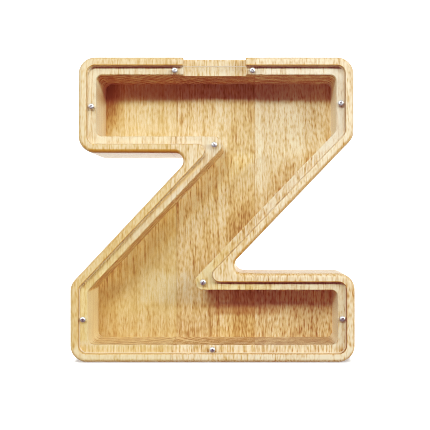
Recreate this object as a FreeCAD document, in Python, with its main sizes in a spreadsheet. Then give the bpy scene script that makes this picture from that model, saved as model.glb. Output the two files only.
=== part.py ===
import FreeCAD, Part
import math
import os
import Sketcher

# Wooden money box in the outline of a capital Z, standing upright.
# Millimetres. +Z is up, the front (window side) faces -Y, +X is to the right as seen from the front.
# The origin is on the table, under the middle of the box.

Vec = FreeCAD.Vector
doc = FreeCAD.newDocument("money_box")

# ---------------------------------------------------------------------------------------------
# Driving dimensions
# ---------------------------------------------------------------------------------------------
SIZES = [
    # outline of the letter, seen from the front
    ("total_height", 220.0, "height of the letter"),
    ("base_width", 205.5, "width of the bottom bar"),
    ("box_depth", 50.0, "front to back"),
    ("top_left_reach", 96.75, "centre to the left end of the top bar"),
    ("top_right_reach", 101.8, "centre to the right end of the top bar"),
    ("base_bar_height", 64.1, "height of the bottom bar"),
    ("top_bar_underside", 151.0, "underside of the top bar above the table"),
    ("left_knee_height", 56.0, "where the left side turns into the diagonal"),
    ("right_knee_height", 162.2, "where the right side turns into the diagonal"),
    ("left_lean", 43.25, "left flank of the diagonal, degrees from upright"),
    ("right_lean", 43.8, "right flank of the diagonal, degrees from upright"),
    ("corner_radius", 12.0, "outer corners"),
    ("crotch_radius", 6.0, "outer corners between bar and diagonal"),
    ("edge_round", 3.0, "round-over of the front and back edges"),
    # rim, rebate and coin space
    ("rim_width", 6.1, "flat rim around the window"),
    ("wall_width", 12.2, "wall around the coin space"),
    ("rebate_depth", 5.0, "front face to the ledge under the window"),
    ("pocket_depth", 43.5, "front face to the back panel"),
    ("rebate_corner", 6.0, "rebate corners"),
    ("rebate_tip", 5.0, "rebate corners around the wooden tips"),
    ("pocket_corner", 4.5, "coin space corners"),
    ("pocket_tip", 6.0, "coin space corners around the wooden tips"),
    ("eased_edge", 0.6, "sanded inner edges"),
    # coin slot in the top
    ("slot_middle", 1.4, "middle of the slot from the centre"),
    ("slot_length", 45.2, "slot end to end"),
    ("slot_floor", 10.0, "front face to the slot's floor"),
    ("slot_ease", 0.7, "sanded edges of the slot"),
    # glued boards
    ("left_seam", 30.0, "centre to the left glue line"),
    ("right_seam", 30.6, "centre to the right glue line"),
    ("left_split", 142.5, "level inside the left gap"),
    ("right_split", 73.5, "level inside the right gap"),
    # window
    ("window_thick", 3.0, "clear sheet"),
    ("window_gap", 0.3, "play between sheet and rim"),
    ("window_hole", 2.8, "screw holes in the sheet"),
    ("window_ease", 0.3, "broken edges of the sheet"),
    # screws
    ("head_dia", 4.2, "pan head"),
    ("head_height", 1.3, "pan head"),
    ("head_side", 0.45, "straight side of the head"),
    ("shank_dia", 2.2, "over the thread"),
    ("shank_length", 12.0, "under the head"),
    ("tip_length", 1.8, "pointed end"),
    ("tip_dia", 0.4, "blunt end of the point"),
    ("thread_start", 2.4, "under the head to the first groove"),
    ("thread_pitch", 0.8, "groove to groove"),
    ("thread_deep", 0.3, "depth of the grooves"),
    ("thread_turns", 9, "number of grooves"),
    ("cross_span", 2.1, "cross recess end to end"),
    ("cross_arm", 0.55, "cross recess arm width"),
    ("cross_deep", 0.75, "cross recess depth"),
    ("pilot_dia", 2.3, "holes in the ledge"),
    ("pilot_deep", 10.0, "holes in the ledge"),
]
SCREWS = [
    # name, distance right of the centre, height above the table
    ("slot_left_screw", -27.4, 210.6),
    ("slot_right_screw", 28.8, 210.6),
    ("upper_left_screw", -87.6, 184.6),
    ("upper_right_screw", 92.6, 186.9),
    ("inner_upper_screw", 1.2, 156.9),
    ("inner_lower_screw", -6.9, 57.7),
    ("lower_left_screw", -93.6, 30.8),
    ("lower_right_screw", 93.6, 31.3),
    ("bottom_screw", -0.1, 9.0),
]
for screw_name, screw_x, screw_z in SCREWS:
    SIZES.append((screw_name + "_across", screw_x, "screw, from the centre"))
    SIZES.append((screw_name + "_up", screw_z, "screw, above the table"))

sheet = doc.addObject("Spreadsheet::Sheet", "sizes")
for row, (alias, value, note) in enumerate(SIZES, start=1):
    sheet.set("A%d" % row, note)
    sheet.set("B%d" % row, str(value))
    sheet.setAlias("B%d" % row, alias)
doc.recompute()


def size(alias):
    return float(sheet.get(alias))


def tan(deg):
    return math.tan(math.radians(deg))


# ---------------------------------------------------------------------------------------------
# Helpers
# ---------------------------------------------------------------------------------------------
def plane(body, role):
    for feature in body.Origin.OriginFeatures:
        if feature.Role == role:
            return feature
    raise RuntimeError(role)


def new_sketch(body, name, role, offset_expr=None):
    sketch = body.newObject("Sketcher::SketchObject", name)
    sketch.AttachmentSupport = [(plane(body, role), "")]
    sketch.MapMode = "FlatFace"
    if offset_expr:
        sketch.setExpression("AttachmentOffset.Base.z", offset_expr)
    return sketch


def pin_point(sketch, geo, end, x_expr, y_expr, tag, x_now, y_now):
    # ties one end of a line to the sheet, measured from the sketch's own origin
    for axis, expr, now in (("DistanceX", x_expr, x_now), ("DistanceY", y_expr, y_now)):
        if expr == "0":
            # a point on one of the sketch's own axes
            sketch.addConstraint(Sketcher.Constraint("PointOnObject", geo, end, -2 if axis == "DistanceX" else -1))
            continue
        number = sketch.addConstraint(Sketcher.Constraint(axis, -1, 1, geo, end, now))
        label = "%s_%s" % (tag, axis[-1].lower())
        sketch.renameConstraint(number, label)
        sketch.setExpression("Constraints." + label, expr)


def polygon(sketch, corners, tag):
    # corners: (x expression, y expression, x now, y now)
    count = len(corners)
    first = sketch.GeometryCount
    for i in range(count):
        a, b = corners[i], corners[(i + 1) % count]
        sketch.addGeometry(Part.LineSegment(Vec(a[2], a[3], 0), Vec(b[2], b[3], 0)), False)
    for i in range(count):
        sketch.addConstraint(Sketcher.Constraint("Coincident", first + i, 2, first + (i + 1) % count, 1))
    for i, corner in enumerate(corners):
        pin_point(sketch, first + i, 1, corner[0], corner[1], "%s%d" % (tag, i), corner[2], corner[3])


# The letter's ten corners, moved inwards by an inset. The order runs from the bottom left corner
# anticlockwise as seen from the front. Corners 3 and 8 are the two gaps' inner ends.
def letter_corners(inset_expr, inset):
    d = "(%s)" % inset_expr
    s = size
    half = s("base_width") / 2
    xr = s("top_right_reach") - (s("right_knee_height") - s("base_bar_height")) * tan(s("right_lean"))
    xl = -half + (s("top_bar_underside") - s("left_knee_height")) * tan(s("left_lean"))
    xr_expr = "sizes.top_right_reach - (sizes.right_knee_height - sizes.base_bar_height) * tan(sizes.right_lean)"
    xl_expr = "-sizes.base_width / 2 + (sizes.top_bar_underside - sizes.left_knee_height) * tan(sizes.left_lean)"
    left = "-sizes.base_width / 2 + " + d
    right = "sizes.base_width / 2 - " + d
    floor = d if inset else "0"
    return [
        (left, floor, -half + inset, inset),
        (right, floor, half - inset, inset),
        (right, "sizes.base_bar_height - " + d, half - inset, s("base_bar_height") - inset),
        (xr_expr + " - " + d + " * tan(45 + sizes.right_lean / 2)", "sizes.base_bar_height - " + d,
         xr - inset * tan(45 + s("right_lean") / 2), s("base_bar_height") - inset),
        ("sizes.top_right_reach - " + d, "sizes.right_knee_height + " + d + " * tan(sizes.right_lean / 2)",
         s("top_right_reach") - inset, s("right_knee_height") + inset * tan(s("right_lean") / 2)),
        ("sizes.top_right_reach - " + d, "sizes.total_height - " + d,
         s("top_right_reach") - inset, s("total_height") - inset),
        ("-sizes.top_left_reach + " + d, "sizes.total_height - " + d,
         -s("top_left_reach") + inset, s("total_height") - inset),
        ("-sizes.top_left_reach + " + d, "sizes.top_bar_underside + " + d,
         -s("top_left_reach") + inset, s("top_bar_underside") + inset),
        (xl_expr + " + " + d + " * tan(45 + sizes.left_lean / 2)", "sizes.top_bar_underside + " + d,
         xl + inset * tan(45 + s("left_lean") / 2), s("top_bar_underside") + inset),
        (left, "sizes.left_knee_height - " + d + " * tan(sizes.left_lean / 2)",
         -half + inset, s("left_knee_height") - inset * tan(s("left_lean") / 2)),
    ]


GAPS = (3, 8)


def upright_edges(feature, corners, picked):
    # straight front-to-back edges standing on the picked corners of an outline
    names = []
    for number, edge in enumerate(feature.Shape.Edges, start=1):
        if edge.Curve.TypeId != "Part::GeomLine" or len(edge.Vertexes) != 2:
            continue
        a, b = edge.Vertexes[0].Point, edge.Vertexes[1].Point
        if abs(a.x - b.x) > 1e-5 or abs(a.z - b.z) > 1e-5:
            continue
        for i in picked:
            if abs(a.x - corners[i][2]) < 1e-3 and abs(a.z - corners[i][3]) < 1e-3:
                names.append("Edge%d" % number)
    if len(names) != len(picked):
        raise RuntimeError("found %d edges for %s" % (len(names), picked))
    return names


def edges_in_plane(feature, axis, value, keep=None):
    names = []
    for number, edge in enumerate(feature.Shape.Edges, start=1):
        box = edge.BoundBox
        low, high = {"x": (box.XMin, box.XMax), "y": (box.YMin, box.YMax), "z": (box.ZMin, box.ZMax)}[axis]
        if abs(low - value) < 1e-4 and abs(high - value) < 1e-4 and (keep is None or keep(edge)):
            names.append("Edge%d" % number)
    return names


def rounding(body, name, base, edges, radius_expr):
    fillet = body.newObject("PartDesign::Fillet", name)
    fillet.Base = (base, edges)
    fillet.setExpression("Radius", radius_expr)
    body.Tip = fillet
    doc.recompute()
    return fillet


def must_shrink(before, feature):
    if not feature.Shape.Volume < before - 0.01:
        raise RuntimeError(feature.Name + " removed nothing")


# ---------------------------------------------------------------------------------------------
# The milled block: outline, round-over, window rebate, coin space, coin slot, pilot holes
# ---------------------------------------------------------------------------------------------
block = doc.addObject("PartDesign::Body", "milled_block")
FRONT = "sizes.box_depth / 2"
outer = letter_corners("0 * sizes.rim_width", 0.0)
rebate = letter_corners("sizes.rim_width", size("rim_width"))
pocket = letter_corners("sizes.wall_width", size("wall_width"))
front_y = -size("box_depth") / 2
CONVEX = [i for i in range(10) if i not in GAPS]

outline = new_sketch(block, "outline", "XZ_Plane", FRONT)
polygon(outline, outer, "corner")
doc.recompute()
slab = block.newObject("PartDesign::Pad", "slab")
slab.Profile = outline
slab.setExpression("Length", "sizes.box_depth")
slab.Reversed = True
doc.recompute()
feature = rounding(block, "outer_corners", slab, upright_edges(slab, outer, CONVEX), "sizes.corner_radius")
feature = rounding(block, "outer_crotches", feature, upright_edges(feature, outer, GAPS), "sizes.crotch_radius")
ends = edges_in_plane(feature, "y", front_y) + edges_in_plane(feature, "y", -front_y)
feature = rounding(block, "round_over", feature, ends, "sizes.edge_round")

rebate_sketch = new_sketch(block, "rebate_outline", "XZ_Plane", FRONT)
polygon(rebate_sketch, rebate, "corner")
doc.recompute()
volume = feature.Shape.Volume
feature = block.newObject("PartDesign::Pocket", "window_rebate")
feature.Profile = rebate_sketch
feature.setExpression("Length", "sizes.rebate_depth")
doc.recompute()
must_shrink(volume, feature)
feature = rounding(block, "rebate_corners", feature, upright_edges(feature, rebate, CONVEX), "sizes.rebate_corner")
feature = rounding(block, "rebate_tips", feature, upright_edges(feature, rebate, GAPS), "sizes.rebate_tip")

pocket_sketch = new_sketch(block, "pocket_outline", "XZ_Plane", FRONT)
polygon(pocket_sketch, pocket, "corner")
doc.recompute()
volume = feature.Shape.Volume
feature = block.newObject("PartDesign::Pocket", "coin_space")
feature.Profile = pocket_sketch
feature.setExpression("Length", "sizes.pocket_depth")
doc.recompute()
must_shrink(volume, feature)
feature = rounding(block, "pocket_corners", feature, upright_edges(feature, pocket, CONVEX), "sizes.pocket_corner")
feature = rounding(block, "pocket_tips", feature, upright_edges(feature, pocket, GAPS), "sizes.pocket_tip")


def lies_inside(edge, inset):
    # true where an edge's middle is more than the inset inside the letter's outline
    middle = edge.valueAt((edge.FirstParameter + edge.LastParameter) / 2)
    ring = letter_corners("0", inset)
    inside = False
    for i in range(10):
        a, b = ring[i], ring[(i + 1) % 10]
        if (a[3] > middle.z) != (b[3] > middle.z):
            if middle.x < a[2] + (middle.z - a[3]) * (b[2] - a[2]) / (b[3] - a[3]):
                inside = not inside
    return inside


# sanded edge of the ledge, all around the coin space
ledge_y = front_y + size("rebate_depth")
ledge_edges = edges_in_plane(feature, "y", ledge_y)
ledge_inner = [n for n in ledge_edges
               if lies_inside(feature.Shape.getElement(n), (size("rim_width") + size("wall_width")) / 2)]
feature = rounding(block, "ledge_edge", feature, ledge_inner, "sizes.eased_edge")

# sanded inner edge of the rim
rim_edges = edges_in_plane(feature, "y", front_y)
rim_edges = [n for n in rim_edges
             if lies_inside(feature.Shape.getElement(n), (size("edge_round") + size("rim_width")) / 2)]
feature = rounding(block, "rim_edge", feature, rim_edges, "sizes.eased_edge")

# coin slot: a notch milled down through the rim and the ledge into the coin space
slot_sketch = new_sketch(block, "slot_outline", "XY_Plane", "sizes.total_height")
slot_a = size("slot_middle") - size("slot_length") / 2
slot_b = size("slot_middle") + size("slot_length") / 2
slot_y = front_y + size("slot_floor")
LEFT_END = "sizes.slot_middle - sizes.slot_length / 2"
RIGHT_END = "sizes.slot_middle + sizes.slot_length / 2"
AHEAD = "-sizes.box_depth / 2 - 2"
SLOT_FLOOR = "-sizes.box_depth / 2 + sizes.slot_floor"
polygon(slot_sketch, [
    (LEFT_END, AHEAD, slot_a, front_y - 2),
    (RIGHT_END, AHEAD, slot_b, front_y - 2),
    (RIGHT_END, SLOT_FLOOR, slot_b, slot_y),
    (LEFT_END, SLOT_FLOOR, slot_a, slot_y),
], "slot")
doc.recompute()
volume = feature.Shape.Volume
feature = block.newObject("PartDesign::Pocket", "coin_slot")
feature.Profile = slot_sketch
feature.setExpression("Length", "sizes.wall_width + 1")
doc.recompute()
must_shrink(volume, feature)
# sanded edges of the slot: both ends, except the inner corners on the floor, and the floor's upper edge
on_floor = lambda e: abs(e.BoundBox.YMin - slot_y) < 1e-4 and abs(e.BoundBox.YMax - slot_y) < 1e-4
slot_edges = edges_in_plane(feature, "x", slot_a, lambda e: not on_floor(e))
slot_edges += edges_in_plane(feature, "x", slot_b, lambda e: not on_floor(e))
slot_edges += edges_in_plane(feature, "z", size("total_height"), on_floor)
feature = rounding(block, "slot_edges", feature, slot_edges, "sizes.slot_ease")

# pilot holes for the window screws, in the ledge
pilot_sketch = new_sketch(block, "pilot_holes", "XZ_Plane", "sizes.box_depth / 2 - sizes.rebate_depth")


def circles(sketch, dia_expr, dia):
    for i, (name, x, z) in enumerate(SCREWS):
        geo = sketch.addGeometry(Part.Circle(Vec(x, z, 0), Vec(0, 0, 1), dia / 2), False)
        pin_point(sketch, geo, 3, "sizes.%s_across" % name, "sizes.%s_up" % name, "hole%d" % i, x, z)
        number = sketch.addConstraint(Sketcher.Constraint("Diameter", geo, dia))
        sketch.renameConstraint(number, "bore%d" % i)
        sketch.setExpression("Constraints.bore%d" % i, dia_expr)


circles(pilot_sketch, "sizes.pilot_dia", size("pilot_dia"))
doc.recompute()
volume = feature.Shape.Volume
feature = block.newObject("PartDesign::Pocket", "pilot_bores")
feature.Profile = pilot_sketch
feature.setExpression("Length", "sizes.pilot_deep")
block.Tip = feature
doc.recompute()
must_shrink(volume, feature)

# ---------------------------------------------------------------------------------------------
# The glued boards: the block is edge-glued from three upright boards before milling, and the two
# gaps of the letter cut each outer board in two
# ---------------------------------------------------------------------------------------------
MARGIN = 5


def board(label, x_low, x_high, z_low, z_high):
    stock = doc.addObject("Part::Box", label + "_stock")
    stock.setExpression("Length", "(%s) - (%s)" % (x_high, x_low))
    stock.setExpression("Width", "sizes.box_depth + %d" % (2 * MARGIN))
    stock.setExpression("Height", "(%s) - (%s)" % (z_high, z_low))
    stock.setExpression("Placement.Base.x", x_low)
    stock.setExpression("Placement.Base.y", "-sizes.box_depth / 2 - %d" % MARGIN)
    stock.setExpression("Placement.Base.z", z_low)
    cut = doc.addObject("Part::Common", label)
    cut.Base = block
    cut.Tool = stock
    cut.Label = label
    return cut


FAR_LEFT = "-sizes.base_width / 2 - %d" % MARGIN
FAR_RIGHT = "sizes.base_width / 2 + %d" % MARGIN
LEFT_SEAM = "-sizes.left_seam"
RIGHT_SEAM = "sizes.right_seam"
BELOW = "0 * sizes.total_height - %d" % MARGIN
ABOVE = "sizes.total_height + %d" % MARGIN
boards = [
    board("centre_board", LEFT_SEAM, RIGHT_SEAM, BELOW, ABOVE),
    board("upper_left_board", FAR_LEFT, LEFT_SEAM, "sizes.left_split", ABOVE),
    board("lower_left_board", FAR_LEFT, LEFT_SEAM, BELOW, "sizes.left_split"),
    board("upper_right_board", RIGHT_SEAM, FAR_RIGHT, "sizes.right_split", ABOVE),
    board("lower_right_board", RIGHT_SEAM, FAR_RIGHT, BELOW, "sizes.right_split"),
]
doc.recompute()

# ---------------------------------------------------------------------------------------------
# The clear window lying on the ledge
# ---------------------------------------------------------------------------------------------
window = doc.addObject("PartDesign::Body", "front_window")
window.Label = "front_window"
glass = letter_corners("sizes.rim_width + sizes.window_gap", size("rim_width") + size("window_gap"))
LEDGE = "sizes.box_depth / 2 - sizes.rebate_depth"
window_sketch = new_sketch(window, "window_outline", "XZ_Plane", LEDGE)
polygon(window_sketch, glass, "corner")
doc.recompute()
feature = window.newObject("PartDesign::Pad", "window_sheet")
feature.Profile = window_sketch
feature.setExpression("Length", "sizes.window_thick")
doc.recompute()
feature = rounding(window, "window_corners", feature, upright_edges(feature, glass, CONVEX),
                   "sizes.rebate_corner - sizes.window_gap")
feature = rounding(window, "window_tips", feature, upright_edges(feature, glass, GAPS),
                   "sizes.rebate_tip + sizes.window_gap")
sheet_front = front_y + size("rebate_depth") - size("window_thick")
rims = edges_in_plane(feature, "y", sheet_front) + edges_in_plane(feature, "y", ledge_y)
broken = window.newObject("PartDesign::Chamfer", "window_edges")
broken.Base = (feature, rims)
broken.setExpression("Size", "sizes.window_ease")
window.Tip = broken
doc.recompute()
feature = broken
hole_sketch = new_sketch(window, "window_holes", "XZ_Plane", LEDGE + " + sizes.window_thick")
circles(hole_sketch, "sizes.window_hole", size("window_hole"))
doc.recompute()
volume = feature.Shape.Volume
feature = window.newObject("PartDesign::Pocket", "screw_holes")
feature.Profile = hole_sketch
feature.setExpression("Length", "sizes.window_thick + 1")
window.Tip = feature
doc.recompute()
must_shrink(volume, feature)


# ---------------------------------------------------------------------------------------------
# The screws: pan head with a cross recess, grooved shank, pointed end
# ---------------------------------------------------------------------------------------------
def make_screw(name):
    body = doc.addObject("PartDesign::Body", name)
    body.Label = name
    s = size
    profile = new_sketch(body, name + "_profile", "XZ_Plane")
    rim, height, side = s("head_dia") / 2, s("head_height"), s("head_side")
    shank, length, tip = s("shank_dia") / 2, s("shank_length"), s("tip_length")
    polygon_points = [
        ("0", "-sizes.shank_length", 0.0, -length),
        ("sizes.tip_dia / 2", "-sizes.shank_length", s("tip_dia") / 2, -length),
        ("sizes.shank_dia / 2", "-sizes.shank_length + sizes.tip_length", shank, -length + tip),
        ("sizes.shank_dia / 2", "0", shank, 0.0),
        ("sizes.head_dia / 2", "0", rim, 0.0),
        ("sizes.head_dia / 2", "sizes.head_side", rim, side),
        ("sizes.head_dia * 0.43", "sizes.head_side + (sizes.head_height - sizes.head_side) * 0.52",
         2 * rim * 0.43, side + (height - side) * 0.52),
        ("sizes.head_dia * 0.32", "sizes.head_side + (sizes.head_height - sizes.head_side) * 0.86",
         2 * rim * 0.32, side + (height - side) * 0.86),
        ("sizes.head_dia * 0.16", "sizes.head_height", 2 * rim * 0.16, height),
        ("0", "sizes.head_height", 0.0, height),
    ]
    polygon(profile, polygon_points, "turn")
    doc.recompute()
    turned = body.newObject("PartDesign::Revolution", name + "_turned")
    turned.Profile = profile
    turned.ReferenceAxis = (profile, ["V_Axis"])
    turned.Angle = 360
    doc.recompute()
    groove_sketch = new_sketch(body, name + "_groove_profile", "XZ_Plane")
    start, pitch, deep = s("thread_start"), s("thread_pitch"), s("thread_deep")
    out = shank + 0.2
    polygon(groove_sketch, [
        ("sizes.shank_dia / 2 + 0.2", "-sizes.thread_start + sizes.thread_pitch * 0.42", out, -start + pitch * 0.42),
        ("sizes.shank_dia / 2 - sizes.thread_deep", "-sizes.thread_start + sizes.thread_pitch * 0.12",
         shank - deep, -start + pitch * 0.12),
        ("sizes.shank_dia / 2 - sizes.thread_deep", "-sizes.thread_start - sizes.thread_pitch * 0.12",
         shank - deep, -start - pitch * 0.12),
        ("sizes.shank_dia / 2 + 0.2", "-sizes.thread_start - sizes.thread_pitch * 0.42", out, -start - pitch * 0.42),
    ], "vee")
    doc.recompute()
    volume = turned.Shape.Volume
    groove = body.newObject("PartDesign::Groove", name + "_groove")
    groove.Profile = groove_sketch
    groove.ReferenceAxis = (groove_sketch, ["V_Axis"])
    groove.Angle = 360
    doc.recompute()
    must_shrink(volume, groove)
    one = volume - groove.Shape.Volume
    thread = body.newObject("PartDesign::LinearPattern", name + "_thread")
    thread.Originals = [groove]
    thread.Direction = (plane(body, "Z_Axis"), [""])
    thread.Reversed = True
    thread.setExpression("Length", "sizes.thread_pitch * (sizes.thread_turns - 1)")
    thread.setExpression("Occurrences", "sizes.thread_turns")
    body.Tip = thread
    doc.recompute()
    if abs(volume - thread.Shape.Volume - one * s("thread_turns")) > 0.02 * one * s("thread_turns"):
        raise RuntimeError("thread grooves missing on " + name)
    cross_sketch = new_sketch(body, name + "_cross", "XY_Plane", "sizes.head_height")
    a, b = "sizes.cross_arm / 2", "sizes.cross_span / 2"
    an, bn = s("cross_arm") / 2, s("cross_span") / 2
    ring = [(a, a, an, an), (a, b, an, bn), ("-" + a, b, -an, bn), ("-" + a, a, -an, an),
            ("-" + b, a, -bn, an), ("-" + b, "-" + a, -bn, -an), ("-" + a, "-" + a, -an, -an),
            ("-" + a, "-" + b, -an, -bn), (a, "-" + b, an, -bn), (a, "-" + a, an, -an),
            (b, "-" + a, bn, -an), (b, a, bn, an)]
    polygon(cross_sketch, ring, "cross")
    doc.recompute()
    volume = thread.Shape.Volume
    cross = body.newObject("PartDesign::Pocket", name + "_recess")
    cross.Profile = cross_sketch
    cross.setExpression("Length", "sizes.cross_deep")
    body.Tip = cross
    doc.recompute()
    must_shrink(volume, cross)
    # the screw points into the box: its own +Z becomes the row's -Y
    body.Placement = FreeCAD.Placement(Vec(0, 0, 0), FreeCAD.Rotation(Vec(1, 0, 0), 90))
    body.setExpression("Placement.Base.x", "sizes.%s_across" % name)
    body.setExpression("Placement.Base.y", "-sizes.box_depth / 2 + sizes.rebate_depth - sizes.window_thick")
    body.setExpression("Placement.Base.z", "sizes.%s_up" % name)
    return body


screws = [make_screw(name) for name, x, z in SCREWS]
doc.recompute()

# ---------------------------------------------------------------------------------------------
# Checks and files
# ---------------------------------------------------------------------------------------------
for item in doc.Objects:
    if "Invalid" in item.State or "Error" in item.State:
        raise RuntimeError("%s failed: %s" % (item.Name, item.State))

os.makedirs("parts", exist_ok=True)
for item in boards + [window] + screws:
    shape = item.Shape
    if shape.isNull() or not shape.isValid():
        raise RuntimeError(item.Label + " has no valid shape")
    if len(shape.Solids) != 1:
        raise RuntimeError("%s has %d solids" % (item.Label, len(shape.Solids)))
for item in boards + [window] + screws:
    solid = item.Shape.Solids[0]
    solid.exportStep(os.path.join("parts", item.Label + ".step"))
    box = solid.BoundBox
    print("%-20s %9.2f mm3  x %7.2f %7.2f  y %7.2f %7.2f  z %7.2f %7.2f" % (
        item.Label, solid.Volume, box.XMin, box.XMax, box.YMin, box.YMax, box.ZMin, box.ZMax))
print("done", len(boards) + 1 + len(screws))
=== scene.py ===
import math

import bmesh
import bpy
from mathutils import Matrix, Vector


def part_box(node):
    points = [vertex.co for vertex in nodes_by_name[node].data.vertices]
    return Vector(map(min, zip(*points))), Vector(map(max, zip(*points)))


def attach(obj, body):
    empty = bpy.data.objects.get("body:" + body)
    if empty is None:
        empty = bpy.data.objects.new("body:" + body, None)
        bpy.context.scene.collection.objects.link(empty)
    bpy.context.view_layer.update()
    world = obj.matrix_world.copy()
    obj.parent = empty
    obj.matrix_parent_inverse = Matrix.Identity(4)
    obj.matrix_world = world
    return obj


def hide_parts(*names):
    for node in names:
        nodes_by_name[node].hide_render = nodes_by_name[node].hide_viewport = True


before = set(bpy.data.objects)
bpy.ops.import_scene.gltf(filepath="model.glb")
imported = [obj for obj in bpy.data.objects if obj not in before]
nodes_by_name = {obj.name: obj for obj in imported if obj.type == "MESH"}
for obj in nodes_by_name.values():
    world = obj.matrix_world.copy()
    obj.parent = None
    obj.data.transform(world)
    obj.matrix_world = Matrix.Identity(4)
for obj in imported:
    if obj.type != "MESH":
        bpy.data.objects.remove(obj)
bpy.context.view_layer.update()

scene = bpy.context.scene


# ---------------------------------------------------------------- node tree helper

class Tree:
    """Short names for the shader nodes that the materials below are made of."""

    def __init__(self, name):
        self.material = bpy.data.materials.new(name)
        self.material.use_nodes = True
        self.tree = self.material.node_tree
        self.tree.nodes.clear()

    def add(self, kind):
        return self.tree.nodes.new(kind)

    def put(self, socket, value):
        if isinstance(value, bpy.types.NodeSocket):
            self.tree.links.new(value, socket)
        else:
            socket.default_value = value

    def math(self, op, a, b=None, c=None, clamp=False):
        n = self.add("ShaderNodeMath")
        n.operation = op
        n.use_clamp = clamp
        for i, v in enumerate((a, b, c)):
            if v is not None:
                self.put(n.inputs[i], v)
        return n.outputs[0]

    def vec(self, op, a, b=None, scale=None):
        n = self.add("ShaderNodeVectorMath")
        n.operation = op
        self.put(n.inputs[0], a)
        if b is not None:
            self.put(n.inputs[1], b)
        if scale is not None:
            self.put(n.inputs["Scale"], scale)
        return n.outputs["Value"] if op in ("LENGTH", "DOT_PRODUCT", "DISTANCE") else n.outputs["Vector"]

    def noise(self, vector=None, scale=1.0, detail=2.0, rough=0.5, dims="3D", w=None, lac=2.0):
        n = self.add("ShaderNodeTexNoise")
        n.noise_dimensions = dims
        if vector is not None:
            self.put(n.inputs["Vector"], vector)
        if w is not None:
            self.put(n.inputs["W"], w)
        n.inputs["Scale"].default_value = scale
        n.inputs["Detail"].default_value = detail
        n.inputs["Roughness"].default_value = rough
        n.inputs["Lacunarity"].default_value = lac
        return n

    def span(self, value, lo, hi, to_lo=0.0, to_hi=1.0, smooth=True):
        n = self.add("ShaderNodeMapRange")
        n.interpolation_type = "SMOOTHSTEP" if smooth else "LINEAR"
        n.clamp = True
        self.put(n.inputs["Value"], value)
        n.inputs["From Min"].default_value = lo
        n.inputs["From Max"].default_value = hi
        n.inputs["To Min"].default_value = to_lo
        n.inputs["To Max"].default_value = to_hi
        return n.outputs["Result"]

    def mix(self, fac, a, b, blend="MIX"):
        n = self.add("ShaderNodeMix")
        n.data_type = "RGBA"
        n.blend_type = blend
        n.clamp_factor = True
        self.put(n.inputs[0], fac)
        self.put(n.inputs[6], a if isinstance(a, bpy.types.NodeSocket) else (*a, 1.0))
        self.put(n.inputs[7], b if isinstance(b, bpy.types.NodeSocket) else (*b, 1.0))
        return n.outputs[2]

    def split(self, vector):
        n = self.add("ShaderNodeSeparateXYZ")
        self.put(n.inputs[0], vector)
        return n.outputs

    def join(self, x, y, z):
        n = self.add("ShaderNodeCombineXYZ")
        for i, v in enumerate((x, y, z)):
            self.put(n.inputs[i], v)
        return n.outputs[0]

    def out(self, shader):
        n = self.add("ShaderNodeOutputMaterial")
        self.tree.links.new(shader, n.inputs["Surface"])
        return self.material


# ---------------------------------------------------------------- wood

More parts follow.
